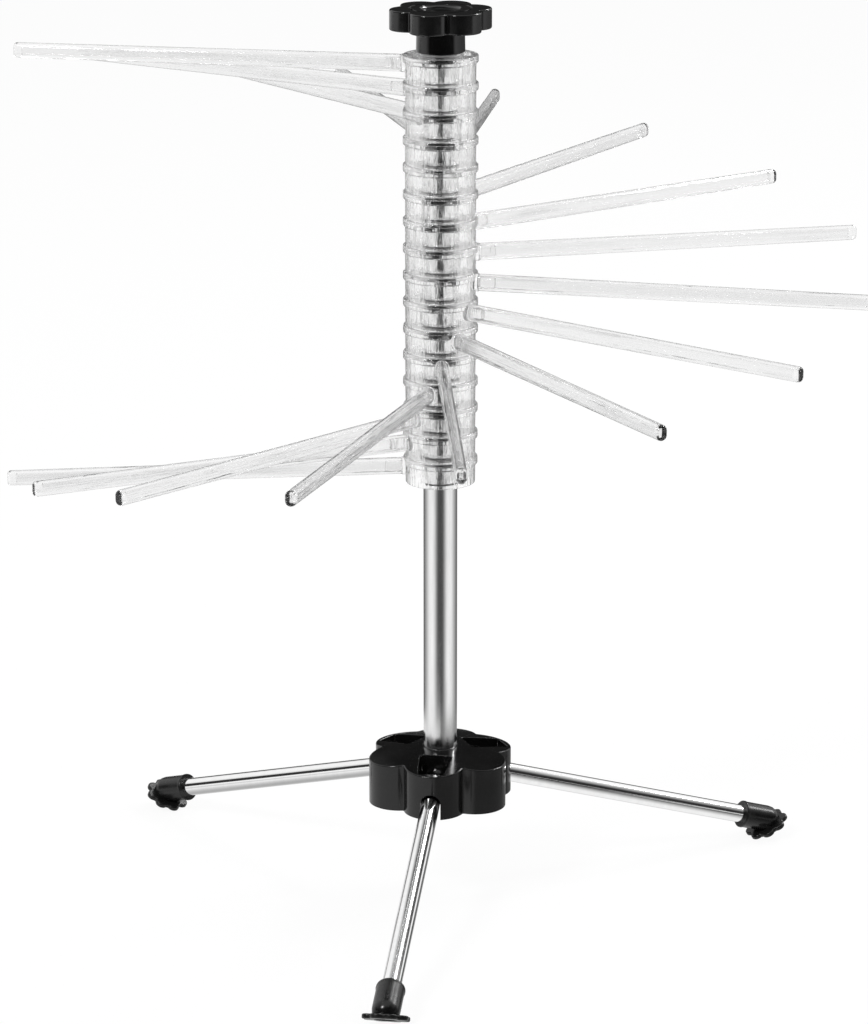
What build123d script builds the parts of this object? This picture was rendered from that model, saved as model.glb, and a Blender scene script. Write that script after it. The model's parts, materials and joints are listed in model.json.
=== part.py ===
from build123d import *
import os
from math import atan, cos, degrees, radians, sin, tan

# Free-standing pasta drying rack: a fan of clear arms stacked on a column that stands on three folding legs.
# The origin is on the ground under the column's axis, +Z is up, sizes are in millimetres and degrees.

# Fits and cutting overrun
running_fit = 0.08
seat_fit = 0.03
seat_gap = 0.1
overrun = 2.0

# Fan of arms: azimuths run from +X, and each arm stands one step clockwise of the arm above it
first_arm_azimuth = 169.0
fan_steps = (20.9, 21.0, 22.5, 22.6, 22.7, 23.4, 22.5, 26.6, 26.2, 23.0, 25.2, 20.8, 25.3, 20.7, 18.8)
fan_limit_angle = 30.0
rod_reach = 216.0
ring_pitch = 13.5
ring_diameter = 37.0
ring_sides = 24
rod_axis_drop = 4.8

# Rod: a hollow bar of tall oval section, pressed on the ring's peg
rod_width = 6.2
rod_height = 8.6
rod_tip_width = 5.4
rod_tip_height = 7.6
rod_corner_share = 0.3
rod_wall = 1.45
rod_end_wall = 4.0
rod_tip_bevel = 0.8
peg_length = 8.0
boss_width = 7.4
boss_height = 9.2
boss_reach = 1.3

# Drag lug under each ring and the arc slot that it runs in
lug_inner_radius = 11.8
lug_outer_radius = 14.8
lug_angle = 11.0
lug_drop = 2.0
lug_play_angle = 0.5
lug_clearance = 0.3
slot_steps = 4

# Column: a core tube for the rings and a wider sleeve below them
core_diameter = 14.6
core_wall = 1.2
sleeve_diameter = 17.0
exposed_sleeve = 140.5
core_recess = 2.2
top_insert_length = 20.0
top_insert_drop = 1.6
bottom_insert_length = 14.0
insert_sides = 12

# Round lobes are drawn with flats: this many to a lobe, each turning by this angle
lobe_flats = 6
flat_turn = 22.5
round_sides = 16

# Knob, its stud and the clamp washer
knob_lobes = 6
first_knob_lobe_azimuth = 10.0
knob_lobe_radius = 10.0
knob_lobe_centre_radius = 15.3
knob_groove_radius = 20.4
knob_flange = 10.2
knob_edge_bevel = 1.4
knob_neck_diameter = 24.2
knob_neck_sides = 24
knob_neck_height = 11.2
knob_recess_diameter = 22.0
knob_recess_depth = 1.4
stud_diameter = 8.0
stud_head_width = 10.0
stud_head_sides = 6
stud_in_knob = 14.0
stud_below_neck = 19.0
stud_collar_diameter = 10.6
stud_collar_height = 1.0
stud_collar_sides = 6
washer_diameter = 21.0
washer_thickness = 1.2
washer_sides = 24

# Hub: six lobes, three of them with a pocket and an arched slot for a leg
lobe_count = 6
leg_count = 3
lobe_radius = 15.6
lobe_centre_radius = 22.4
lobe_groove_radius = 30.0
dome_sides = 12
hub_rim_above_pivot = 10.0
hub_dome_rise = 4.0
hub_below_pivot = 13.0
hub_collar_radius = 12.0
socket_floor = 4.0
screw_recess_depth = 4.2
screw_recess_diameter = 14.0
lobe_wall = 3.2
core_sides = 8
pocket_inner_width = 16.4
pocket_outer_width = 13.4
pocket_floor_above_pivot = 4.0
slot_width = 10.3
slot_wall = 2.6
stop_gap = 0.3

# Legs
first_leg_azimuth = -97.9
leg_angle = 17.4
leg_diameter = 9.5
leg_wall = 0.8
pivot_radius = 19.6
sole_along_leg = 178.6
sole_off_axis = 4.0
leg_end_length = 6.0
leg_spigot_length = 10.0
spigot_sides = 8
pin_diameter = 3.0
pin_length = 20.8
pin_hole_sides = 8

# Rubber feet
sole_angle = 45.0
sole_lobes = 8
sole_lobe_radius = 3.4
sole_lobe_centre_radius = 8.4
sole_groove_radius = 9.9
sole_thickness = 2.4
boot_diameter = 13.8
boot_toe_cut = 4.2
boot_length = 22.4
boot_past_sole = 4.4
boot_end_wall = 6.6

# Screw that holds the column in the hub
screw_diameter = 5.0
screw_head_diameter = 11.0
screw_head_height = 3.4
screw_head_sides = 6
screw_grip = 10.0

# Heights worked out from the ground up
sole_tilt = 90.0 - leg_angle - sole_angle
lobe_half_step = 180.0 / sole_lobes
sole_contact_radius = sole_lobe_centre_radius * cos(radians(lobe_half_step)) + sole_lobe_radius
sole_height = sole_contact_radius * sin(radians(sole_tilt))
pivot_height = sole_height + sole_along_leg * sin(radians(leg_angle))
pivot_height += sole_off_axis * cos(radians(leg_angle))
hub_bottom = pivot_height - hub_below_pivot
hub_rim = pivot_height + hub_rim_above_pivot
hub_top = hub_rim + hub_dome_rise
hub_radius = lobe_centre_radius + lobe_radius
socket_bottom = hub_bottom + screw_recess_depth + socket_floor
stack_bottom = hub_top + exposed_sleeve
arm_count = len(fan_steps) + 1
stack_top = stack_bottom + arm_count * ring_pitch
core_radius = core_diameter / 2
core_bore = core_radius - core_wall
sleeve_radius = sleeve_diameter / 2
core_top = stack_top - core_recess
ring_bore = core_radius + running_fit
pivot_wall_radius = hub_radius - slot_wall
dome_taper = degrees(atan((hub_radius - hub_collar_radius) / hub_dome_rise))


def radial_plane(azimuth, distance, height):
    """A plane square to the azimuth's direction, with its normal outward and its own Y axis upward."""
    across = Vector(-sin(radians(azimuth)), cos(radians(azimuth)), 0)
    outward = Vector(cos(radians(azimuth)), sin(radians(azimuth)), 0)
    return Plane(origin=outward * distance + Vector(0, 0, height), x_dir=across, z_dir=outward)


def leg_plane(azimuth):
    """The upright plane of a leg: origin at its pivot, X along it to the foot, Y off its upper side."""
    outward = Vector(cos(radians(azimuth)), sin(radians(azimuth)), 0)
    along = outward * cos(radians(leg_angle)) - Vector(0, 0, sin(radians(leg_angle)))
    across = Vector(sin(radians(azimuth)), -cos(radians(azimuth)), 0)
    return Plane(origin=outward * pivot_radius + Vector(0, 0, pivot_height), x_dir=along, z_dir=across)


def sector_corners(inner_radius, outer_radius, start, end, steps):
    """Corners of a part of a flat ring between two angles, its arcs drawn as equal steps."""
    angles = [radians(start + (end - start) * step / steps) for step in range(steps + 1)]
    outer = [(outer_radius * cos(angle), outer_radius * sin(angle)) for angle in angles]
    inner = [(inner_radius * cos(angle), inner_radius * sin(angle)) for angle in reversed(angles)]
    return outer + inner


def save(shape, name):
    shape.label = name
    export_step(shape, f"parts/{name}.step")


def oval_corners(width, height):
    """Corners of a tall section with its corners cut off, upright in a radial plane."""
    cut = width * rod_corner_share
    half_width = width / 2
    half_height = height / 2
    quarter = [(half_width, half_height - cut), (half_width - cut, half_height)]
    mirrored = [(-across, up) for across, up in reversed(quarter)]
    upper = quarter + mirrored
    return upper + [(-across, -up) for across, up in upper]


def lobed_corners(lobes, circle, radius, groove_radius, start):
    """Corners of an outline of round lobes drawn with flats, with a groove between each two lobes."""
    corners = []
    for lobe in range(lobes):
        azimuth = start + lobe * 360.0 / lobes
        for flat in range(lobe_flats + 1):
            turn = azimuth + (flat - lobe_flats / 2) * flat_turn
            x = circle * cos(radians(azimuth)) + radius * cos(radians(turn))
            y = circle * sin(radians(azimuth)) + radius * sin(radians(turn))
            corners.append((x, y))
        middle = radians(azimuth + 180.0 / lobes)
        corners.append((groove_radius * cos(middle), groove_radius * sin(middle)))
    return corners


def make_ring(azimuth, top):
    """A ring with its rod peg and boss, the arc slot in its top and the drag lug under its foot."""
    bottom = top - ring_pitch
    rod_axis = top - rod_axis_drop
    boss_face = ring_diameter / 2 + boss_reach
    lug_centre = azimuth + 180
    peg_inset = 2 * (rod_wall + seat_fit)
    with BuildPart() as ring:
        with BuildSketch(Plane.XY.offset(bottom)):
            RegularPolygon(ring_diameter / 2, ring_sides, rotation=azimuth)
        extrude(amount=ring_pitch)
        with BuildSketch(radial_plane(azimuth, boss_face, rod_axis)):
            Polygon(*oval_corners(boss_width, boss_height), align=None)
        extrude(amount=-(boss_face - lug_outer_radius))
        with BuildSketch(radial_plane(azimuth, boss_face, rod_axis)):
            Polygon(*oval_corners(rod_width - peg_inset, rod_height - peg_inset), align=None)
        extrude(amount=peg_length)
        with BuildSketch(Plane.XY.offset(bottom)):
            RegularPolygon(ring_bore, ring_sides, major_radius=False, rotation=azimuth)
        extrude(amount=ring_pitch, mode=Mode.SUBTRACT)
        with BuildSketch(Plane.XY.offset(top)):
            slot = sector_corners(
                lug_inner_radius - lug_clearance,
                lug_outer_radius + lug_clearance,
                lug_centre - lug_angle / 2 - lug_play_angle,
                lug_centre + lug_angle / 2 + fan_limit_angle + lug_play_angle,
                slot_steps,
            )
            Polygon(*slot, align=None)
        extrude(amount=-(lug_drop + lug_clearance), mode=Mode.SUBTRACT)
        with BuildSketch(Plane.XY.offset(bottom)):
            lug_start = lug_centre - lug_angle / 2
            lug = sector_corners(lug_inner_radius, lug_outer_radius, lug_start, lug_start + lug_angle, 1)
            Polygon(*lug, align=None)
        extrude(amount=-lug_drop)
    return ring.part


def make_rod(azimuth, rod_axis):
    """A tapered hollow rod, open at its root and closed at its bevelled tip."""
    root = ring_diameter / 2 + boss_reach + seat_gap
    shoulder = rod_reach - rod_tip_bevel
    bore_end = rod_reach - rod_end_wall
    both_walls = 2 * rod_wall
    both_bevels = 2 * rod_tip_bevel
    with BuildPart() as rod:
        with BuildSketch(radial_plane(azimuth, root, rod_axis)):
            Polygon(*oval_corners(rod_width, rod_height), align=None)
        with BuildSketch(radial_plane(azimuth, shoulder, rod_axis)):
            Polygon(*oval_corners(rod_tip_width, rod_tip_height), align=None)
        with BuildSketch(radial_plane(azimuth, rod_reach, rod_axis)):
            Polygon(*oval_corners(rod_tip_width - both_bevels, rod_tip_height - both_bevels), align=None)
        loft(ruled=True)
        with BuildSketch(radial_plane(azimuth, root, rod_axis)):
            Polygon(*oval_corners(rod_width - both_walls, rod_height - both_walls), align=None)
        with BuildSketch(radial_plane(azimuth, bore_end, rod_axis)):
            Polygon(*oval_corners(rod_tip_width - both_walls, rod_tip_height - both_walls), align=None)
        loft(ruled=True, mode=Mode.SUBTRACT)
    return rod.part


def make_arms():
    """All arms from the top down, each a ring and its rod."""
    azimuth = first_arm_azimuth
    for index in range(arm_count):
        if index:
            azimuth -= fan_steps[index - 1]
        top = stack_top - index * ring_pitch
        save(make_ring(azimuth, top), f"ring_{index + 1:02d}")
        save(make_rod(azimuth, top - rod_axis_drop), f"rod_{index + 1:02d}")


def make_column():
    """The core tube inside the rings, the bare sleeve below them, and the plugs in the core's ends."""
    with BuildPart() as core:
        with BuildSketch(Plane.XY.offset(socket_bottom)):
            Circle(core_radius)
            Circle(core_bore, mode=Mode.SUBTRACT)
        extrude(amount=core_top - socket_bottom)
    save(core.part, "column_core")
    with BuildPart() as sleeve:
        with BuildSketch(Plane.XY.offset(socket_bottom)):
            Circle(sleeve_radius)
            Circle(core_radius + seat_fit, mode=Mode.SUBTRACT)
        extrude(amount=stack_bottom - socket_bottom)
    save(sleeve.part, "column_sleeve")
    with BuildPart() as top_insert:
        with BuildSketch(Plane.XY.offset(core_top - top_insert_drop)):
            RegularPolygon(core_bore - seat_fit, insert_sides)
            Circle(stud_diameter / 2 + running_fit, mode=Mode.SUBTRACT)
        extrude(amount=-top_insert_length)
    save(top_insert.part, "top_insert")
    with BuildPart() as bottom_insert:
        with BuildSketch(Plane.XY.offset(socket_bottom)):
            RegularPolygon(core_bore - seat_fit, insert_sides)
            Circle(screw_diameter / 2, mode=Mode.SUBTRACT)
        extrude(amount=bottom_insert_length)
    save(bottom_insert.part, "bottom_insert")


def make_knob():
    """The clamping knob, the hex-headed stud moulded into it, and the washer captive on the stud."""
    neck_bottom = stack_top + washer_thickness
    flange_bottom = neck_bottom + knob_neck_height
    flange_top = flange_bottom + knob_flange
    with BuildPart() as knob:
        with BuildSketch(Plane.XY.offset(flange_bottom)):
            outline = lobed_corners(
                knob_lobes,
                knob_lobe_centre_radius,
                knob_lobe_radius,
                knob_groove_radius,
                first_knob_lobe_azimuth,
            )
            Polygon(*outline, align=None)
        extrude(amount=knob_flange)
        chamfer(knob.edges().group_by(Axis.Z)[-1], length=knob_edge_bevel)
        with BuildSketch(Plane.XY.offset(neck_bottom)):
            RegularPolygon(knob_neck_diameter / 2, knob_neck_sides)
        extrude(amount=knob_neck_height)
        with BuildSketch(Plane.XY.offset(flange_top)):
            RegularPolygon(knob_recess_diameter / 2, knob_neck_sides)
        extrude(amount=-knob_recess_depth, mode=Mode.SUBTRACT)
        with BuildSketch(Plane.XY.offset(neck_bottom)):
            RegularPolygon(stud_head_width / 2 + seat_fit, stud_head_sides, major_radius=False)
        extrude(amount=stud_in_knob, mode=Mode.SUBTRACT)
    save(knob.part, "knob")
    with BuildPart() as stud:
        with BuildSketch(Plane.XY.offset(neck_bottom)):
            RegularPolygon(stud_head_width / 2, stud_head_sides, major_radius=False)
        extrude(amount=stud_in_knob)
        with BuildSketch(Plane.XY.offset(neck_bottom)):
            Circle(stud_diameter / 2)
        extrude(amount=-stud_below_neck)
        with BuildSketch(Plane.XY.offset(stack_top - seat_gap)):
            RegularPolygon(stud_collar_diameter / 2, stud_collar_sides)
        extrude(amount=-stud_collar_height)
    save(stud.part, "knob_stud")
    with BuildPart() as washer:
        with BuildSketch(Plane.XY.offset(stack_top)):
            RegularPolygon(washer_diameter / 2, washer_sides)
            Circle(stud_diameter / 2 + running_fit, mode=Mode.SUBTRACT)
        extrude(amount=washer_thickness)
    save(washer.part, "clamp_washer")


def make_hub(leg_azimuths):
    """The moulded hub: a domed top on six lobes, leg pockets and slots, and blank lobes cored from below."""
    blank_azimuths = [azimuth + 180.0 / leg_count for azimuth in leg_azimuths]
    slot_inner_radius = pivot_radius - leg_diameter / 2 - running_fit - seat_gap
    arch_top = pivot_height - (pivot_wall_radius - pivot_radius) * tan(radians(leg_angle))
    arch_top += leg_diameter / 2 / cos(radians(leg_angle)) + stop_gap
    arch_centre = arch_top - slot_width / 2
    pocket_floor = pivot_height + pocket_floor_above_pivot
    with BuildPart() as hub:
        with BuildSketch(Plane.XY.offset(hub_bottom)):
            RegularPolygon(hub_radius, dome_sides, major_radius=False)
        extrude(amount=hub_rim - hub_bottom)
        with BuildSketch(Plane.XY.offset(hub_rim)):
            RegularPolygon(hub_radius, dome_sides, major_radius=False)
        extrude(amount=hub_dome_rise, taper=dome_taper)
        with BuildSketch(Plane.XY.offset(hub_bottom)):
            outline = lobed_corners(
                lobe_count, lobe_centre_radius, lobe_radius, lobe_groove_radius, first_leg_azimuth
            )
            Polygon(*outline, align=None)
        extrude(amount=hub_top - hub_bottom, mode=Mode.INTERSECT)
        for azimuth in leg_azimuths:
            inner = slot_inner_radius
            outer = pivot_wall_radius
            with BuildSketch(radial_plane(azimuth, inner, hub_bottom)):
                with Locations((0, (pocket_floor - hub_bottom) / 2)):
                    Rectangle(slot_width, pocket_floor - hub_bottom)
            extrude(amount=outer - inner, mode=Mode.SUBTRACT)
            with BuildSketch(radial_plane(azimuth, inner, hub_bottom)):
                with Locations((0, (arch_centre - hub_bottom) / 2)):
                    Rectangle(slot_width, arch_centre - hub_bottom)
                with Locations((0, arch_centre - hub_bottom)):
                    Circle(slot_width / 2)
            extrude(amount=hub_radius + overrun - inner, mode=Mode.SUBTRACT)
            with BuildSketch(Plane.XY.offset(pocket_floor)):
                across = Vector(-sin(radians(azimuth)), cos(radians(azimuth)), 0)
                outward = Vector(cos(radians(azimuth)), sin(radians(azimuth)), 0)
                Polygon(
                    outward * inner - across * (pocket_inner_width / 2),
                    outward * outer - across * (pocket_outer_width / 2),
                    outward * outer + across * (pocket_outer_width / 2),
                    outward * inner + across * (pocket_inner_width / 2),
                    align=None,
                )
            extrude(amount=hub_top - pocket_floor + overrun, mode=Mode.SUBTRACT)
            pin_plane = leg_plane(azimuth)
            with BuildSketch(pin_plane):
                RegularPolygon(pin_diameter / 2 + seat_fit, pin_hole_sides, major_radius=False)
            extrude(amount=pin_length / 2, both=True, mode=Mode.SUBTRACT)
        with BuildSketch(Plane.XY.offset(hub_bottom)):
            for azimuth in blank_azimuths:
                with PolarLocations(lobe_centre_radius, 1, start_angle=azimuth):
                    RegularPolygon(lobe_radius - lobe_wall, core_sides)
            RegularPolygon(hub_collar_radius, dome_sides, mode=Mode.SUBTRACT)
        extrude(amount=hub_rim - lobe_wall - hub_bottom, mode=Mode.SUBTRACT)
        with BuildSketch(Plane.XY.offset(socket_bottom)):
            Circle(sleeve_radius + seat_fit)
        extrude(amount=hub_top - socket_bottom, mode=Mode.SUBTRACT)
        with BuildSketch(Plane.XY.offset(hub_bottom)):
            RegularPolygon(screw_recess_diameter / 2, dome_sides)
        extrude(amount=screw_recess_depth, mode=Mode.SUBTRACT)
        with BuildSketch(Plane.XY.offset(hub_bottom)):
            Circle(screw_diameter / 2 + running_fit)
        extrude(amount=socket_bottom - hub_bottom, mode=Mode.SUBTRACT)
    save(hub.part, "hub")


def make_hub_screw():
    """The hexagon-headed screw that draws the column down into the hub."""
    head_top = hub_bottom + screw_recess_depth
    with BuildPart() as screw:
        with BuildSketch(Plane.XY.offset(head_top)):
            RegularPolygon(screw_head_diameter / 2, screw_head_sides)
        extrude(amount=-screw_head_height)
        with BuildSketch(Plane.XY.offset(head_top)):
            Circle(screw_diameter / 2 - seat_fit)
        extrude(amount=socket_bottom - head_top + screw_grip)
    save(screw.part, "hub_screw")


def make_leg(azimuth, number):
    """One leg: its domed end piece, cross pin, tube and rubber foot."""
    plane = leg_plane(azimuth)
    leg_radius = leg_diameter / 2
    leg_bore = leg_radius - leg_wall
    boot_end = sole_along_leg + boot_past_sole
    boot_start = boot_end - boot_length
    tube_end = boot_end - boot_end_wall
    square = Plane(origin=plane.origin, x_dir=plane.z_dir, z_dir=plane.x_dir)
    with BuildPart() as leg_end:
        with BuildSketch(square.offset(-leg_radius)):
            RegularPolygon(leg_radius, round_sides)
        extrude(amount=leg_radius + leg_end_length)
        with BuildSketch(plane):
            RegularPolygon(leg_radius, round_sides)
            with Locations((leg_end_length / 2, 0)):
                Rectangle(leg_end_length, leg_diameter)
        extrude(amount=leg_diameter, both=True, mode=Mode.INTERSECT)
        with BuildSketch(square.offset(leg_end_length)):
            RegularPolygon(leg_bore - seat_fit, spigot_sides)
        extrude(amount=leg_spigot_length)
        with BuildSketch(plane):
            Circle(pin_diameter / 2 + running_fit)
        extrude(amount=leg_diameter, both=True, mode=Mode.SUBTRACT)
    save(leg_end.part, f"leg_end_{number}")
    with BuildPart() as pin:
        with BuildSketch(plane):
            Circle(pin_diameter / 2)
        extrude(amount=pin_length / 2, both=True)
    save(pin.part, f"leg_pin_{number}")
    with BuildPart() as tube:
        with BuildSketch(square.offset(leg_end_length)):
            Circle(leg_radius)
            Circle(leg_bore, mode=Mode.SUBTRACT)
        extrude(amount=tube_end - leg_end_length)
    save(tube.part, f"leg_tube_{number}")

    sole_point = plane.origin + plane.x_dir * sole_along_leg - plane.y_dir * sole_off_axis
    sole_normal = plane.x_dir * cos(radians(sole_angle)) - plane.y_dir * sin(radians(sole_angle))
    sole_down = -plane.x_dir * sin(radians(sole_angle)) - plane.y_dir * cos(radians(sole_angle))
    sole_plane = Plane(origin=sole_point, x_dir=sole_down, z_dir=sole_normal)
    boot_radius = boot_diameter / 2
    with BuildPart() as foot:
        with BuildSketch(square.offset(boot_start)):
            RegularPolygon(boot_radius, round_sides)
        extrude(amount=boot_length)
        with BuildSketch(plane):
            toe = boot_end + overrun
            side = boot_radius + overrun
            cut = boot_toe_cut + 2 * overrun
            Polygon((toe, side), (toe - cut, side), (toe, side - cut), align=None)
        extrude(amount=boot_diameter, both=True, mode=Mode.SUBTRACT)
        with BuildSketch(sole_plane):
            Rectangle(2 * boot_length, 2 * boot_length)
        extrude(amount=boot_length, mode=Mode.SUBTRACT)
        with BuildSketch(sole_plane):
            outline = lobed_corners(
                sole_lobes, sole_lobe_centre_radius, sole_lobe_radius, sole_groove_radius, lobe_half_step
            )
            Polygon(*outline, align=None)
        extrude(amount=-sole_thickness)
        with BuildSketch(square.offset(boot_start)):
            RegularPolygon(leg_radius + seat_fit, round_sides, major_radius=False)
        extrude(amount=tube_end + seat_gap - boot_start, mode=Mode.SUBTRACT)
    save(foot.part, f"foot_{number}")


os.makedirs("parts", exist_ok=True)
leg_azimuths = [first_leg_azimuth + number * 360.0 / leg_count for number in range(leg_count)]
make_arms()
make_column()
make_knob()
make_hub(leg_azimuths)
make_hub_screw()
for number, azimuth in enumerate(leg_azimuths, start=1):
    make_leg(azimuth, number)
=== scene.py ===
import bmesh
import bpy
import json
from math import cos, pi, radians, sin
from mathutils import Matrix, Vector


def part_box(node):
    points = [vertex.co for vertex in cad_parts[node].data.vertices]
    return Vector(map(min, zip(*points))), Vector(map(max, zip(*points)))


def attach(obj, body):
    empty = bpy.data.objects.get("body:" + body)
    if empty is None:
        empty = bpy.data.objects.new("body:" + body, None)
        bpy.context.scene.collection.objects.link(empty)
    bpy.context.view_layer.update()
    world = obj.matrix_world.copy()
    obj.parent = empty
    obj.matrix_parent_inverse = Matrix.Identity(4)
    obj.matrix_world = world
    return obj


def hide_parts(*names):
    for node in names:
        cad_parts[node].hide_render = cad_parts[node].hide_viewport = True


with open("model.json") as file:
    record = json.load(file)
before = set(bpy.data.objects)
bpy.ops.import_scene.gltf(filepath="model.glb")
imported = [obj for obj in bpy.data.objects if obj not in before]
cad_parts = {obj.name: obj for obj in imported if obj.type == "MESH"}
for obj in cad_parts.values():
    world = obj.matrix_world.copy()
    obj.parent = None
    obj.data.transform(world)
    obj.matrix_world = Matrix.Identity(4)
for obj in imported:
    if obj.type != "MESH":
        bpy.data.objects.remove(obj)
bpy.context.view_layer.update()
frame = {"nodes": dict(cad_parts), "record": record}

# Sizes are in millimetres until a piece is placed; the frame's own boxes are in metres.
MM = 0.001

# Fan of arms, from the top ring down
arm_azimuths = (169.0, 148.1, 127.1, 104.6, 82.0, 59.3, 35.9, 13.4, -13.2, -39.4, -62.4, -87.6, -108.4, -133.7,
                -154.4, -173.2)
ring_pitch = 13.5
ring_gap = 0.05
bore_radius = 7.42
body_radius = 17.5
rim_radius = 18.6
rim_height = 3.5
rim_foot = 3.9
web_height = 1.9
collar_wall = 1.3
collar_root_wall = 1.4
skirt_wall = 1.5
skirt_root_wall = 1.9
skirt_draft = 0.15
ring_rounding = 0.45
boss_section = (7.2, 9.0)
boss_end_section = (6.6, 8.4)
boss_reach = 19.4
peg_section = (3.2, 5.6)
peg_end_section = (2.6, 5.0)
peg_reach = 27.4
end_chamfer = 0.4
rod_drop = 4.8
rod_reach = 216.0

# Drag tongue under a ring and the arc slot in the ring below that it runs in, in degrees from the arm
tongue_radii = (11.8, 14.8)
tongue_angles = (174.5, 185.5)
tongue_drop = 2.0
slot_radii = (11.5, 15.1)
slot_angles = (174.0, 216.0)

# Column
core_radius = 7.3
sleeve_radius = 8.5
core_wall = 1.2
tube_fit = 0.03

# Knob
knob_head_height = 10.2
knob_lobes = 6
knob_lobe_circle = 15.3
knob_lobe_radius = 10.0
knob_lobe_span = 77.0
knob_first_lobe = 10.0
knob_rounding = 1.2
stud_hole_radius = 4.05
washer_thickness = 1.18

# Hub and legs
leg_azimuths = (-97.9, 22.1, 142.1)
leg_angle = 17.4
pivot_radius = 19.6
leg_radius = 4.75
leg_wall = 0.8
leg_tube_start = 6.0
leg_tube_end = 176.3
pin_radius = 1.5
pin_reach = 10.4
hub_lobes = 6
hub_lobe_circle = 22.4
hub_lobe_radius = 15.6
hub_lobe_span = 74.0
hub_rounding = 0.5
hub_merging = 0.35
beyond_hub = 45.0
pocket_start = 14.7
pocket_end = 35.0
leg_slot_radius = 5.15
leg_slot_end = 35.4
blank_lobe_circle = 24.0

# Foot: the boot's bore, the sole's middle along the leg and off its axis, and how far it leans
boot_bore = 4.79
sole_along_leg = 178.6
sole_off_axis = -4.0
sole_lean = -45.0
sole_thickness = 2.4
sole_lobes = 8
sole_lobe_circle = 8.4
sole_lobe_radius = 3.4
sole_lobe_span = 74.0

stack_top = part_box("clamp_washer")[0].z / MM
hub_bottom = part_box("hub")[0].z / MM
hub_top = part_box("hub")[1].z / MM
sleeve_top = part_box("column_sleeve")[1].z / MM
core_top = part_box("column_core")[1].z / MM
socket_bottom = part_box("column_core")[0].z / MM
pivot_height = hub_bottom + 13.0
hub_rim = pivot_height + 10.0
pocket_floor = pivot_height + 4.0
pocket_middle = pivot_height + 8.5
arch_centre = pivot_height + 0.3 - leg_slot_radius

# Floor, in metres, and the photograph's camera: focal length and width in pixels, pitch in degrees
floor_radius = 9.0
photo_width = 868
focal_length = 3970.6
sensor_width = 36.0
camera_spot = (-0.0032, -1.9194, stack_top * MM - rod_drop * MM + 0.3317)
camera_pitch = 16.243

# Lamps: place, aim and size in metres, power in watts
lamps = {
    "key_lamp": ((-1.2, -1.3, 1.9), (0, 0, 0.2), (0.5, 0.5), 26.0),
    "fill_lamp": ((1.7, 0.8, 1.3), (0, 0, 0.2), (0.4, 0.6), 12.0),
    "rim_lamp": ((1.1, 1.35, 1.85), (0, 0, 0.3), (0.5, 0.4), 14.0),
}


# Shader graphs

class Signal:
    """A shader socket that takes part in plain arithmetic."""

    def __init__(self, graph, socket):
        self.graph = graph
        self.socket = socket

    def _with(self, operation, other, swapped=False):
        values = (other, self) if swapped else (self, other)
        return self.graph.node("ShaderNodeMath", {"operation": operation}, dict(enumerate(values)))

    def __add__(self, other):
        return self._with("ADD", other)

    __radd__ = __add__

    def __sub__(self, other):
        return self._with("SUBTRACT", other)

    def __rsub__(self, other):
        return self._with("SUBTRACT", other, swapped=True)

    def __mul__(self, other):
        return self._with("MULTIPLY", other)

    __rmul__ = __mul__

    def __truediv__(self, other):
        return self._with("DIVIDE", other)

    def above(self, limit):
        return self._with("GREATER_THAN", limit)

    def stronger(self, other):
        return self._with("MAXIMUM", other)

    def root(self):
        return self._with("SQRT", 0.0)

    def remainder(self):
        return self._with("FRACT", 0.0)


class Graph:
    """The node tree of one material or of the world."""

    def __init__(self, owner):
        owner.use_nodes = True
        self.tree = owner.node_tree
        self.tree.nodes.clear()

    def node(self, kind, settings=None, inputs=None, output=0):
        """Adds a node, sets its settings and then its sockets, and returns the output or outputs asked for."""
        made = self.tree.nodes.new(kind)
        for name, value in (settings or {}).items():
            if name == "stops":
                ramp = made.color_ramp.elements
                while len(ramp) < len(value):
                    ramp.new(1.0)
                for element, (place, colour) in zip(ramp, value):
                    element.position = place
                    element.color = colour
            else:
                setattr(made, name, value)
        for name, value in (inputs or {}).items():
            if isinstance(value, Signal):
                self.tree.links.new(value.socket, made.inputs[name])
            else:
                made.inputs[name].default_value = value
        if not made.outputs:
            return made
        if isinstance(output, tuple):
            return [Signal(self, made.outputs[index]) for index in output]
        return Signal(self, made.outputs[output])

    def parts_of(self, vector):
        """The X, Y and Z of a vector signal."""
        return self.node("ShaderNodeSeparateXYZ", inputs={0: vector}, output=(0, 1, 2))

    def place(self):
        """Coordinates in metres, the same on every piece because no piece is moved from the origin."""
        return self.node("ShaderNodeTexCoord", output="Object")

    def noise(self, scale, detail=4.0, roughness=0.5, stretch=(1, 1, 1)):
        spot = self.node("ShaderNodeMapping", inputs={"Vector": self.place(), "Scale": stretch})
        return self.node("ShaderNodeTexNoise", inputs={
            "Vector": spot, "Scale": scale, "Detail": detail, "Roughness": roughness})

    def ramp(self, signal, low, high, start=0.0, end=1.0):
        """Takes a signal from low..high to start..end along a straight line, held at both ends."""
        return self.node("ShaderNodeMapRange", inputs={
            "Value": signal, "From Min": low, "From Max": high, "To Min": start, "To Max": end})

    def fall(self, signal, low, high):
        """Falls from 1 to 0 while a signal goes from low to high."""
        return self.ramp(signal, low, high, 1.0, 0.0)

    def band(self, signal, start, full, fading, end):
        """Rises from 0 to 1 between start and full, and falls back to 0 between fading and end."""
        return self.ramp(signal, start, full) * self.fall(signal, fading, end)

    def blend(self, factor, first, second):
        """Goes from the first colour to the second; the numbers are a Mix node's sockets for colours."""
        return self.node("ShaderNodeMix", {"data_type": "RGBA"}, {0: factor, 6: first, 7: second}, output=2)

    def bump(self, height, strength, distance):
        return self.node("ShaderNodeBump", inputs={
            "Height": height, "Strength": strength, "Distance": distance})


def grey(level):
    return (level, level, level, 1.0)


def material(name):
    made = bpy.data.materials.new(name)
    return made, Graph(made)


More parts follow.
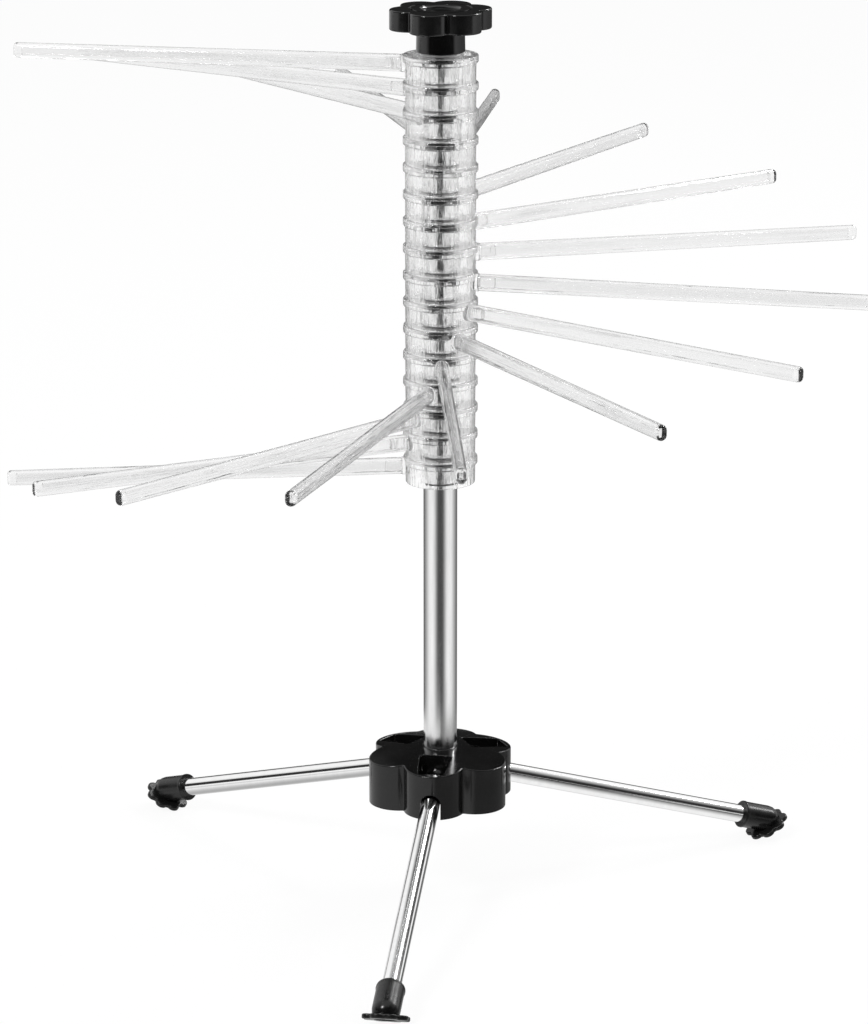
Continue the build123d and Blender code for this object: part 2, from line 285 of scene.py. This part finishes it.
def surface(graph, **sockets):
    """A Principled surface; a socket's name is written with underscores for its spaces."""
    inputs = {name.replace("_", " "): value for name, value in sockets.items()}
    shader = graph.node("ShaderNodeBsdfPrincipled", inputs=inputs)
    graph.node("ShaderNodeOutputMaterial", inputs={"Surface": shader})


def clear_plastic(name, clearness, streak, edge, stretch, painted_bore_shade):
    """Clear moulding with streaks of flow, and painted shade that makes it dimmer where it is seen edge-on.

    A ring's bore gets painted shade: dark bands near the faces on which the rings bear, where one ring meets
    the next.
    """
    made, graph = material(name)
    flow = graph.noise(260.0, 3.0, 0.5, stretch)
    fine = graph.noise(420.0, 2.0)
    facing = graph.node("ShaderNodeLayerWeight", inputs={"Blend": 0.5}, output="Facing")
    body = graph.blend(graph.ramp(flow, 0.32, 0.42), grey(streak), grey(clearness))
    # Painted shade: the colour goes to the edge grey where a surface is seen edge-on, in place of the dark
    # edges that refraction shows
    tint = graph.blend(graph.ramp(facing, 0.45, 0.95), body, grey(edge))
    if painted_bore_shade:
        # Painted shade: near-black bands in the bore at the top and foot of each ring, where the rings meet
        x, y, z = graph.parts_of(graph.place())
        height_in_ring = ((z - stack_top * MM) / (ring_pitch * MM)).remainder()
        patch = graph.noise(140.0, 2.0, 0.5, (1.0, 1.0, 0.6))
        upper_shade_band = height_in_ring.above(graph.ramp(patch, 0.42, 0.58, 0.6, 0.88))
        foot_shade_band = 1.0 - height_in_ring.above(0.03)
        in_bore = 1.0 - (x * x + y * y).root().above(9.2 * MM)
        tint = graph.blend(upper_shade_band.stronger(foot_shade_band) * in_bore, tint, grey(0.01))
    surface(graph, Base_Color=tint, Roughness=graph.ramp(fine, 0.3, 0.7, 0.02, 0.06), IOR=1.49,
            Transmission_Weight=1.0, Normal=graph.bump(flow, 0.7, 0.0006))
    return made


def chrome(name, roughness, tone):
    """Polished plating with faint wipe marks and slight waviness."""
    made, graph = material(name)
    wipe = graph.noise(60.0, 5.0, 0.6, (6.0, 6.0, 0.6))
    speck = graph.noise(700.0, 2.0)
    rough = graph.ramp(wipe, 0.35, 0.7, roughness * 0.8, roughness * 1.35)
    tint = graph.blend(graph.ramp(wipe, 0.3, 0.75), grey(tone), grey(tone * 0.94))
    surface(graph, Base_Color=tint, Metallic=1.0, Roughness=rough, Normal=graph.bump(speck, 0.03, 0.0001))
    return made


def black_plastic():
    """Glossy black moulding: fine orange peel and a few dull patches."""
    made, graph = material("black_plastic")
    peel = graph.noise(520.0, 3.0)
    patch = graph.noise(45.0, 3.0)
    rough = graph.ramp(patch, 0.35, 0.7, 0.09, 0.17)
    tint = graph.blend(graph.ramp(patch, 0.3, 0.8), grey(0.003), grey(0.007))
    surface(graph, Base_Color=tint, Roughness=rough, Normal=graph.bump(peel, 0.08, 0.0002),
            Specular_IOR_Level=0.5, IOR=1.5)
    return made


def black_rubber():
    """Soft black rubber with a fine grain and handling marks."""
    made, graph = material("black_rubber")
    grain = graph.noise(900.0, 4.0, 0.6)
    mark = graph.noise(110.0, 3.0)
    rough = graph.ramp(mark, 0.3, 0.75, 0.20, 0.36)
    tint = graph.blend(graph.ramp(mark, 0.3, 0.8), grey(0.004), grey(0.009))
    surface(graph, Base_Color=tint, Roughness=rough, Normal=graph.bump(grain, 0.12, 0.0002),
            Specular_IOR_Level=0.4)
    return made


def plain_steel():
    """Zinc-plated steel with turning marks."""
    made, graph = material("plain_steel")
    turning = graph.noise(300.0, 3.0, 0.5, (1.0, 1.0, 8.0))
    rough = graph.ramp(turning, 0.3, 0.7, 0.28, 0.42)
    tint = graph.blend(turning, grey(0.42), grey(0.52))
    surface(graph, Base_Color=tint, Metallic=1.0, Roughness=rough, Normal=graph.bump(turning, 0.08, 0.0002))
    return made


finishes = {
    "clear_plastic": clear_plastic("clear_plastic", 0.995, 0.6, 0.35, (2.2, 2.2, 0.3), painted_bore_shade=True),
    "clear_rod": clear_plastic("clear_rod_plastic", 0.94, 0.85, 0.68, (0.06, 0.06, 2.5), painted_bore_shade=False),
    "chrome": chrome("bright_chrome", 0.08, 0.93),
    "satin_chrome": chrome("satin_chrome", 0.16, 0.93),
    "black_plastic": black_plastic(),
    "black_rubber": black_rubber(),
    "steel": plain_steel(),
}


# Shapes

def put_in_order(shape):
    """Orders a shape's vertices, edges and faces by their places, so that every run gives the same mesh."""
    def middle(item):
        corners = getattr(item, "verts", (item,))
        total = sum((corner.co for corner in corners), Vector())
        return tuple(round(value / len(corners), 4) for value in total)

    for items in (shape.verts, shape.edges, shape.faces):
        rank = {item: index for index, item in enumerate(sorted(items, key=middle))}
        items.sort(key=rank.get)
        items.index_update()
    return shape


def lathe(profile, steps=72, closed=True):
    """Turns (radius, height) points about Z; a profile that isn't closed starts and ends on the axis."""
    shape = bmesh.new()
    points = [shape.verts.new((radius, 0.0, height)) for radius, height in profile]
    pairs = list(zip(points, points[1:]))
    if closed:
        pairs.append((points[-1], points[0]))
    lines = [shape.edges.new(pair) for pair in pairs]
    bmesh.ops.spin(shape, geom=points + lines, cent=(0, 0, 0), axis=(0, 0, 1), angle=2 * pi, steps=steps,
                   use_merge=True)
    bmesh.ops.remove_doubles(shape, verts=shape.verts, dist=1e-4)
    bmesh.ops.recalc_face_normals(shape, faces=shape.faces)
    return put_in_order(shape)


def soften(shape, width, segments=3, sharpest=40.0, keep=None, limited=True):
    """Rounds the edges whose faces meet at more than an angle, where keep accepts the edge's middle.

    Limited rounding stays within the shortest edges, and is left off for a shape with many short ones.
    """
    edges = [edge for edge in shape.edges
             if len(edge.link_faces) == 2 and edge.calc_face_angle() > radians(sharpest)]
    if keep:
        edges = [edge for edge in edges if keep((edge.verts[0].co + edge.verts[1].co) / 2)]
    bmesh.ops.bevel(shape, geom=edges, offset=width, offset_type="OFFSET", segments=segments, profile=0.5,
                    affect="EDGES", clamp_overlap=limited, material=-1)
    return put_in_order(shape)


def raised(shape, face, height):
    """Pulls a flat face up into a solid."""
    moved = bmesh.ops.extrude_face_region(shape, geom=[face])["geom"]
    bmesh.ops.translate(shape, verts=[item for item in moved if isinstance(item, bmesh.types.BMVert)],
                        vec=(0, 0, height))
    bmesh.ops.recalc_face_normals(shape, faces=shape.faces)
    return shape


def lobed_plate(lobes, circle, radius, span, start, low, high, steps):
    """A plate whose outline is a ring of round lobes joined by straight valleys.

    Each lobe is an arc of steps flats that reaches span degrees to both sides of its outward direction.
    """
    shape = bmesh.new()
    chains = []
    for lobe in range(lobes):
        azimuth = radians(start) + 2 * pi * lobe / lobes
        centre = Vector((circle * cos(azimuth), circle * sin(azimuth), low))
        first_turn = azimuth - radians(span)
        corner = shape.verts.new(centre + radius * Vector((cos(first_turn), sin(first_turn), 0)))
        known = set(shape.verts)
        bmesh.ops.spin(shape, geom=[corner], cent=centre, axis=(0, 0, 1), angle=2 * radians(span), steps=steps)
        fresh = [vert for vert in shape.verts if vert not in known]
        last_turn = azimuth + radians(span)
        end = centre + radius * Vector((cos(last_turn), sin(last_turn), 0))
        chains.append((corner, min(fresh, key=lambda vert: (vert.co - end).length)))
    for index, (_, end) in enumerate(chains):
        shape.edges.new((end, chains[(index + 1) % lobes][0]))
    face = bmesh.ops.contextual_create(shape, geom=shape.edges[:])["faces"][0]
    return raised(shape, face, high - low)


def prism(corners, low, high):
    """An upright prism on the given (x, y) corners."""
    shape = bmesh.new()
    face = shape.faces.new([shape.verts.new((x, y, low)) for x, y in corners])
    return raised(shape, face, high - low)


def oval_loop(shape, reach, width, height, steps=24):
    """One upright oval loop of vertices across the X axis: a circle drawn out in height."""
    upright = Matrix.Rotation(pi / 2, 4, "Y") @ Matrix.Rotation(pi / steps, 4, "Z")
    verts = bmesh.ops.create_circle(shape, cap_ends=False, segments=steps, radius=width / 2,
                                    matrix=Matrix.Translation((reach, 0, 0)) @ upright)["verts"]
    stretch = (height - width) / 2
    bmesh.ops.translate(shape, verts=[vert for vert in verts if vert.co.z > 0], vec=(0, 0, stretch))
    bmesh.ops.translate(shape, verts=[vert for vert in verts if vert.co.z < 0], vec=(0, 0, -stretch))
    # Each edge once, in an order that is the same in every run
    return list(dict.fromkeys(edge for vert in verts for edge in vert.link_edges))


def oval_bar(stations):
    """A bar along X through (reach, width, height) stations, capped at both ends."""
    shape = bmesh.new()
    loops = [oval_loop(shape, *station) for station in stations]
    for first, second in zip(loops, loops[1:]):
        bmesh.ops.bridge_loops(shape, edges=first + second)
    for loop in (loops[0], loops[-1]):
        bmesh.ops.contextual_create(shape, geom=[edge for edge in loop if edge.is_valid])
    bmesh.ops.recalc_face_normals(shape, faces=shape.faces)
    return shape


def carve(base, tools, operation="DIFFERENCE"):
    """Cuts the tool shapes out of the base shape, or joins or crosses them with it."""
    mesh = bpy.data.meshes.new("blank")
    base.to_mesh(mesh)
    base.free()
    block = bpy.data.objects.new("blank", mesh)
    bpy.context.scene.collection.objects.link(block)
    helpers = []
    for tool in tools:
        tool_mesh = bpy.data.meshes.new("cutter")
        tool.to_mesh(tool_mesh)
        tool.free()
        cutter = bpy.data.objects.new("cutter", tool_mesh)
        bpy.context.scene.collection.objects.link(cutter)
        step = block.modifiers.new("cut", "BOOLEAN")
        step.operation = operation
        step.solver = "EXACT"
        step.object = cutter
        helpers.append(cutter)
    bpy.context.view_layer.update()
    ready = block.evaluated_get(bpy.context.evaluated_depsgraph_get())
    result = bmesh.new()
    result.from_mesh(ready.to_mesh())
    ready.to_mesh_clear()
    for helper in helpers + [block]:
        bpy.data.objects.remove(helper)
    bmesh.ops.remove_doubles(result, verts=result.verts, dist=1e-3)
    bmesh.ops.dissolve_degenerate(result, edges=result.edges, dist=1e-3)
    bmesh.ops.delete(result, geom=[edge for edge in result.edges if not edge.link_faces], context="EDGES")
    return put_in_order(result)


def put(name, shape, finish, body, replaced=(), spot=None, smooth=35.0):
    """Makes a piece of a shape drawn in millimetres and sets it in its place on its body."""
    mesh = bpy.data.meshes.new(name)
    copy = shape.copy()
    placing = Matrix.Scale(MM, 4) @ (spot or Matrix.Identity(4))
    bmesh.ops.transform(copy, matrix=placing, verts=copy.verts)
    copy.to_mesh(mesh)
    copy.free()
    for face in mesh.polygons:
        face.use_smooth = True
    mesh.set_sharp_from_angle(angle=radians(smooth))
    mesh.materials.append(finishes[finish])
    piece = bpy.data.objects.new(name, mesh)
    bpy.context.scene.collection.objects.link(piece)
    shading = piece.modifiers.new("even_shading", "WEIGHTED_NORMAL")
    shading.keep_sharp = True
    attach(piece, body)
    if replaced:
        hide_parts(*replaced)
    return piece


def turned(azimuth, height=0.0):
    return Matrix.Translation((0, 0, height)) @ Matrix.Rotation(radians(azimuth), 4, "Z")


# Arms

def sector(inner, outer, start, end, low, high, steps=8):
    """A piece of a flat ring between two angles, standing from low to high."""
    angles = [radians(start + (end - start) * step / steps) for step in range(steps + 1)]
    corners = [(outer * cos(angle), outer * sin(angle)) for angle in angles]
    corners += [(inner * cos(angle), inner * sin(angle)) for angle in reversed(angles)]
    return prism(corners, low, high)


def ring_shape():
    """A hollow clear ring: rim, skirt, web, hub sleeve, rod boss and peg, drag tongue and its slot."""
    foot = -ring_pitch + ring_gap
    web = -web_height
    ring = lathe([
        (bore_radius, foot), (bore_radius + collar_wall, foot), (bore_radius + collar_root_wall, web),
        (body_radius - skirt_root_wall, web), (body_radius - skirt_wall, foot),
        (body_radius - skirt_draft, foot), (body_radius, -rim_foot), (rim_radius, -rim_height),
        (rim_radius, -ring_gap), (bore_radius, -ring_gap)])
    soften(ring, ring_rounding)
    boss = oval_bar([(body_radius - 0.9, *boss_section), (boss_reach, *boss_section),
                     (boss_reach + end_chamfer, *boss_end_section)])
    peg = oval_bar([(boss_reach + 0.1, *peg_section), (peg_reach, *peg_section),
                    (peg_reach + end_chamfer, *peg_end_section)])
    for part in (boss, peg):
        bmesh.ops.translate(part, verts=part.verts, vec=(0, 0, -rod_drop))
    tongue = sector(*tongue_radii, *tongue_angles, -ring_pitch - tongue_drop, web + 0.4, 3)
    slot = sector(*slot_radii, *slot_angles, web - 1.0, 2.0)
    ring = carve(ring, [boss, peg, tongue], "UNION")
    return carve(ring, [slot])


def rod_shape():
    """A hollow tapered rod with a rounded closed tip: its hollow from the tip back, then its outside."""
    return oval_bar([
        (212.0, 1.6, 3.6), (211.4, 2.4, 4.6), (20.0, 3.3, 5.7), (19.95, 3.5, 5.9),
        (19.95, 6.0, 8.4), (20.15, 6.2, 8.6), (214.0, 5.4, 7.6), (214.9, 5.1, 7.3), (215.6, 4.4, 6.6),
        (rod_reach, 3.2, 5.4)])


def make_arms():
    ring = ring_shape()
    rod = rod_shape()
    for index, azimuth in enumerate(arm_azimuths):
        number = f"{index + 1:02d}"
        top = stack_top - index * ring_pitch
        body = f"arm_{number}_turning"
        put(f"clear_ring_{number}", ring, "clear_plastic", body, [f"ring_{number}"],
            turned(azimuth, top))
        put(f"clear_rod_{number}", rod, "clear_rod", body, [f"rod_{number}"],
            turned(azimuth, top - rod_drop))


# Column

def make_column():
    core = lathe([(core_radius, socket_bottom), (core_radius, core_top), (core_radius - core_wall, core_top),
                  (core_radius - core_wall, socket_bottom)], 96)
    put("core_tube", soften(core, 0.3), "chrome", "base", ["column_core"])
    sleeve = lathe([(sleeve_radius, socket_bottom), (sleeve_radius, sleeve_top),
                    (core_radius + tube_fit, sleeve_top), (core_radius + tube_fit, socket_bottom)], 96)
    put("sleeve_tube", soften(sleeve, 0.35), "satin_chrome", "base", ["column_sleeve"])


# Knob

def make_knob():
    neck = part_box("knob")[0].z / MM
    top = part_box("knob")[1].z / MM
    flange = top - knob_head_height
    head = lobed_plate(knob_lobes, knob_lobe_circle, knob_lobe_radius, knob_lobe_span, knob_first_lobe,
                       flange, top, 18)
    soften(head, knob_rounding, 4, 60.0)
    dish = lathe([(0, top - 1.6), (8.6, top - 1.6), (10.2, top - 0.5), (11.0, top + 1.0), (0, top + 1.0)],
                 closed=False)
    groove = lathe([(14.6, top - 0.5), (15.4, top - 0.5), (15.8, top + 1.0), (14.2, top + 1.0)])
    head = carve(head, [dish, groove])
    put("knob_head", head, "black_plastic", "knob_turning", ["knob"])
    dome = lathe([(0, top - 2.2), (5.6, top - 2.2), (5.6, top - 1.4), (4.6, top - 0.9), (3.0, top - 0.55),
                  (0, top - 0.4)], 48, closed=False)
    put("knob_cap", dome, "black_plastic", "knob_turning", ["knob"])
    stem = lathe([(stud_hole_radius, neck), (11.6, neck), (12.1, neck + 0.5), (11.9, flange - 0.6),
                  (12.8, flange + 0.3), (stud_hole_radius, flange + 0.3)])
    put("knob_neck", stem, "black_plastic", "knob_turning", ["knob"])
    washer_top = stack_top + washer_thickness
    washer = lathe([(4.08, stack_top), (10.4, stack_top), (10.4, washer_top), (4.08, washer_top)])
    put("washer_disc", soften(washer, 0.2, 2), "steel", "washer_lift", ["clamp_washer"])


# Hub

def hub_shape():
    """The lobed moulding with its shallow dome, leg pockets, arched slots and cored blank lobes."""
    below = hub_bottom - 1.0
    plate = lobed_plate(hub_lobes, hub_lobe_circle, hub_lobe_radius, hub_lobe_span, leg_azimuths[0],
                        hub_bottom, hub_top + 2.0, 20)
    dome = lathe([(0, below), (44.0, below), (44.0, hub_rim - 0.9), (38.0, hub_rim), (30.0, hub_rim + 1.6),
                  (20.0, hub_rim + 3.1), (12.5, hub_top - 0.2), (11.5, hub_top), (0, hub_top)],
                 96, closed=False)
    hub = carve(plate, [dome], "INTERSECT")
    socket_radius = sleeve_radius + tube_fit
    socket = lathe([(0, socket_bottom), (socket_radius, socket_bottom), (socket_radius, hub_top - 0.8),
                    (sleeve_radius + 0.9, hub_top + 1.0), (0, hub_top + 1.0)], closed=False)
    screw_hole = lathe([(0, below), (6.9, below), (6.9, hub_bottom + 4.2), (2.6, hub_bottom + 4.2),
                        (2.6, socket_bottom + 0.5), (0, socket_bottom + 0.5)], 48, closed=False)
    tools = [socket, screw_hole]
    for azimuth in leg_azimuths:
        pocket = prism([(pocket_start, -8.2), (pocket_end, -6.6), (pocket_end, 6.6), (pocket_start, 8.2)],
                       pocket_floor, hub_top + 3.0)
        # Only the pocket's upright corners are rounded
        soften(pocket, 1.6, 4, 60.0, lambda middle: abs(middle.z - pocket_middle) < 4.0)
        # The cuts' sides and ends differ by hundredths, so that none lies in another's plane
        slot = prism([(14.73, -5.2), (leg_slot_end, -5.2), (leg_slot_end, 5.2), (14.73, 5.2)],
                     below, pivot_height + 5.3)
        low_slot = prism([(14.76, -5.13), (beyond_hub, -5.13), (beyond_hub, 5.13), (14.76, 5.13)],
                         below, arch_centre)
        arch = lathe([(0, 14.8), (leg_slot_radius, 14.8), (leg_slot_radius, beyond_hub), (0, beyond_hub)],
                     40, closed=False)
        lean = Matrix.Translation((0, 0, arch_centre)) @ Matrix.Rotation(pi / 2, 4, "Y")
        bmesh.ops.transform(arch, matrix=lean, verts=arch.verts)
        for tool in (pocket, slot, low_slot, arch):
            bmesh.ops.transform(tool, matrix=turned(azimuth), verts=tool.verts)
            tools.append(tool)
        core = lathe([(0, below), (12.4, below), (12.2, hub_rim - 3.2), (0, hub_rim - 3.2)], 48, closed=False)
        beside = turned(azimuth + 360.0 / hub_lobes) @ Matrix.Translation((blank_lobe_circle, 0, 0))
        bmesh.ops.transform(core, matrix=beside @ Matrix.Diagonal((0.86, 1, 1, 1)), verts=core.verts)
        tools.append(core)
    return carve(hub, tools)


def make_hub():
    """Only the hub's upper edges are rounded, after the short edges that the cuts left there are merged."""
    hub = hub_shape()
    shoulder = pivot_height + 6.0
    high_verts = [vert for vert in hub.verts if vert.co.z > shoulder]
    bmesh.ops.remove_doubles(hub, verts=high_verts, dist=hub_merging)
    soften(hub, hub_rounding, 3, 50.0, lambda middle: middle.z > shoulder, limited=False)
    put("hub_moulding", hub, "black_plastic", "base", ["hub"], smooth=40.0)


# Legs

def leg_placing(azimuth):
    """Places a shape drawn along +Z, with its upper side towards +X, along a leg from its pivot."""
    outward = Vector((cos(radians(azimuth)), sin(radians(azimuth)), 0))
    along = outward * cos(radians(leg_angle)) - Vector((0, 0, sin(radians(leg_angle))))
    upward = outward * sin(radians(leg_angle)) + Vector((0, 0, cos(radians(leg_angle))))
    across = along.cross(upward)
    start = outward * pivot_radius + Vector((0, 0, pivot_height))
    turn = Matrix((upward, across, along)).transposed().to_4x4()
    return Matrix.Translation(start) @ turn


def foot_shape():
    """A rubber boot with a rolled lip and a rounded toe, and its slanting scalloped sole."""
    boot = lathe([
        (boot_bore, 160.6), (6.9, 160.6), (7.15, 160.9), (7.2, 161.5), (7.1, 162.1), (6.9, 162.6),
        (6.9, 176.1), (6.55, 178.3), (5.6, 180.3), (4.2, 181.7), (2.2, 182.7), (0, 183.0), (0, 176.5),
        (boot_bore, 176.5)], 48)
    sole = lobed_plate(sole_lobes, sole_lobe_circle, sole_lobe_radius, sole_lobe_span, 180.0 / sole_lobes,
                       -sole_thickness, 0.0, 10)
    soften(sole, 0.7, 3, 60.0)
    grip = lathe([(0, -0.5), (5.6, -0.5), (6.2, 1.0), (0, 1.0)], 40, closed=False)
    sole = carve(sole, [grip])
    lean = Matrix.Translation((sole_off_axis, 0, sole_along_leg)) @ Matrix.Rotation(radians(sole_lean), 4, "Y")
    bmesh.ops.transform(sole, matrix=lean, verts=sole.verts)
    # The boot ends just inside the sole's upper face
    cut = prism([(-40, -40), (40, -40), (40, 40), (-40, 40)], -0.6, 40.0)
    bmesh.ops.transform(cut, matrix=lean, verts=cut.verts)
    boot = carve(boot, [cut])
    return boot, sole


def make_legs():
    tube = lathe([(leg_radius, leg_tube_start), (leg_radius, leg_tube_end),
                  (leg_radius - leg_wall, leg_tube_end), (leg_radius - leg_wall, leg_tube_start)], 64)
    soften(tube, 0.2, 2)
    knuckle = lathe([
        (0, -leg_radius), (1.5, -4.51), (2.85, -3.8), (3.9, -2.71), (4.55, -1.36), (leg_radius, 0),
        (leg_radius, 5.95), (3.9, 5.95), (3.9, 16.0), (0, 16.0)], 64, closed=False)
    pin = lathe([(0, -pin_reach), (pin_radius, -pin_reach), (pin_radius, pin_reach), (0, pin_reach)],
                32, closed=False)
    bmesh.ops.transform(pin, matrix=Matrix.Rotation(pi / 2, 4, "X"), verts=pin.verts)
    boot, sole = foot_shape()
    for index, azimuth in enumerate(leg_azimuths, start=1):
        spot = leg_placing(azimuth)
        body = f"leg_{index}"
        put(f"leg_bar_{index}", tube, "chrome", body, [f"leg_tube_{index}"], spot)
        put(f"leg_knuckle_{index}", knuckle, "chrome", body, [f"leg_end_{index}"], spot)
        put(f"leg_axle_{index}", pin, "steel", "base", [f"leg_pin_{index}"], spot)
        put(f"foot_boot_{index}", boot, "black_rubber", body, [f"foot_{index}"], spot)
        put(f"foot_sole_{index}", sole, "black_rubber", body, [f"foot_{index}"], spot)


# Studio

def sight(graph):
    """Masks for rays straight or through clear plastic, for mirrored rays, and for rays that met no plastic."""
    path = "ShaderNodeLightPath"
    through = graph.node(path, output="Is Transmission Ray")
    mirrored = graph.node(path, output="Is Glossy Ray") * (1.0 - through)
    mirrored = mirrored.stronger(graph.node(path, output="Glossy Depth").above(0.5))
    open_way = graph.node(path, output="Is Camera Ray").stronger(through)
    bare = 1.0 - graph.node(path, output="Transmission Depth").above(0.5)
    return open_way * (1.0 - mirrored), mirrored, bare


def make_floor():
    """A pale floor that is white to the camera and through clear plastic, and keeps the object's shadow."""
    shape = bmesh.new()
    bmesh.ops.create_circle(shape, cap_ends=True, segments=96, radius=floor_radius)
    mesh = bpy.data.meshes.new("floor")
    shape.to_mesh(mesh)
    shape.free()
    floor = bpy.data.objects.new("floor", mesh)
    bpy.context.scene.collection.objects.link(floor)
    made, graph = material("pale_floor")
    seen, mirrored, bare = sight(graph)
    # How far out and how far to the back a spot of the floor lies, and how steeply it is looked at
    x, y, _ = graph.parts_of(graph.place())
    reach = (x * x + y * y + 0.000001).root()
    depth = y / reach
    steep = 1.0 - graph.node("ShaderNodeLayerWeight", inputs={"Blend": 0.5}, output="Facing")
    # Painted reflection: to mirrored rays the floor glows in a pattern of dark bands and bright patches, which
    # the metal and plastic show
    cards = graph.node("ShaderNodeValToRGB", {"stops": (
        (0.0, grey(0.07)), (0.02, grey(0.1)), (0.12, grey(0.8)), (0.22, grey(1.0)), (0.42, grey(0.9)),
        (0.62, grey(0.5)), (0.84, grey(0.2)), (1.0, grey(0.08)))}, {"Fac": graph.ramp(depth, -1.0, 1.0)})
    far = cards * graph.ramp(depth, -0.5, -0.3).stronger(graph.ramp(steep, 0.16, 0.24))
    right = graph.ramp(x, -0.02, 0.02)
    far = far.stronger((1.0 - right) * graph.fall(steep, 0.16, 0.24) * graph.ramp(depth, -0.6, -0.3))
    left_near = graph.ramp(steep, 0.4, 1.0, 0.95, 0.35) * graph.ramp(steep, 0.28, 0.42, 0.75, 1.0)
    near = right * graph.ramp(steep, 0.15, 0.9, 0.06, 0.95) + (1.0 - right) * left_near
    close = graph.fall(reach, 0.26, 0.28)
    behind_plastic = (1.0 - bare) * graph.ramp(depth, -0.97, -0.85) * 0.95
    level = (close * near + (1.0 - close) * far).stronger(behind_plastic)
    matt = graph.node("ShaderNodeBsdfDiffuse", inputs={"Color": grey(0.95)})
    glow = graph.node("ShaderNodeEmission", inputs={"Color": grey(1.0), "Strength": seen + mirrored * level})
    shown = graph.node("ShaderNodeMixShader", inputs={0: (seen * 0.92).stronger(mirrored), 1: matt, 2: glow})
    graph.node("ShaderNodeOutputMaterial", inputs={"Surface": shown})
    mesh.materials.append(made)


def make_surround():
    """White behind the object, and a studio's light walls and dark cards in its reflections."""
    world = bpy.data.worlds.new("studio")
    bpy.context.scene.world = world
    graph = Graph(world)
    x, y, z = graph.parts_of(graph.node("ShaderNodeTexCoord", output="Generated"))
    open_way, mirrored, bare = sight(graph)
    # Dark cards stand behind the object, at its right side and in front; slant is how far right they lie
    rear = graph.ramp(y, -0.02, 0.02)
    slant = x / y.stronger(0.001)
    rear_card = graph.ramp(slant, -0.6, -0.15) * graph.fall(slant - z * 0.4, 0.1, 0.25)
    rear_card = rear_card * graph.fall(z, 0.9, 0.99)
    rear_strip = graph.band(slant, -0.68, -0.6, 0.45, 0.6) * graph.fall(z, 0.28, 0.36)
    side_card = graph.band(slant, 1.0, 1.06, 1.25, 1.35) * graph.band(z, 0.18, 0.28, 0.54, 0.6)
    front_card = graph.fall(y, -0.4, 0.35) * graph.band(z, 0.02, 0.06, 0.78, 0.92)
    low_strip = graph.fall(y, 0.22, 0.36) * graph.band(z, 0.01, 0.04, 0.32, 0.38)
    rear_cards = rear * rear_card.stronger(side_card).stronger(rear_strip)
    plain_cards = rear_cards.stronger(front_card).stronger(low_strip)
    middle = graph.fall(x * x / (x * x + y * y + 0.0001), 0.14, 0.34) * graph.fall(z, 0.4, 0.5)
    cards = bare * plain_cards + (1.0 - bare) * front_card * middle
    level = mirrored * (1.0 - cards * 0.97) + (1.0 - mirrored) * 0.6
    level = open_way + (1.0 - open_way) * level
    backdrop = graph.node("ShaderNodeBackground", inputs={"Color": grey(1.0), "Strength": level})
    graph.node("ShaderNodeOutputWorld", inputs={"Surface": backdrop})


def make_lamp(name, spot, target, size, power):
    lamp = bpy.data.lights.new(name, "AREA")
    lamp.shape = "RECTANGLE"
    lamp.size, lamp.size_y = size
    lamp.energy = power
    holder = bpy.data.objects.new(name, lamp)
    bpy.context.scene.collection.objects.link(holder)
    holder.location = spot
    holder.rotation_euler = (Vector(target) - Vector(spot)).to_track_quat("-Z", "Y").to_euler()


def make_camera():
    lens = bpy.data.cameras.new("camera")
    lens.sensor_fit = "HORIZONTAL"
    lens.sensor_width = sensor_width
    lens.lens = focal_length / photo_width * sensor_width
    lens.clip_end = 100.0
    camera = bpy.data.objects.new("camera", lens)
    bpy.context.scene.collection.objects.link(camera)
    camera.location = camera_spot
    camera.rotation_euler = (radians(90 - camera_pitch), 0, 0)
    bpy.context.scene.camera = camera


slots = {entry["node"]: entry["material_slot"] for entry in frame["record"]["subparts"]}
for name, node in frame["nodes"].items():
    node.data.materials.clear()
    node.data.materials.append(finishes[slots[name]])

make_arms()
make_column()
make_knob()
make_hub()
make_legs()
make_floor()
make_surround()
for name, lamp in lamps.items():
    make_lamp(name, *lamp)
make_camera()
studio = bpy.context.scene
studio.view_settings.view_transform = "Standard"
studio.cycles.max_bounces = 32
studio.cycles.glossy_bounces = 16
studio.cycles.transmission_bounces = 24
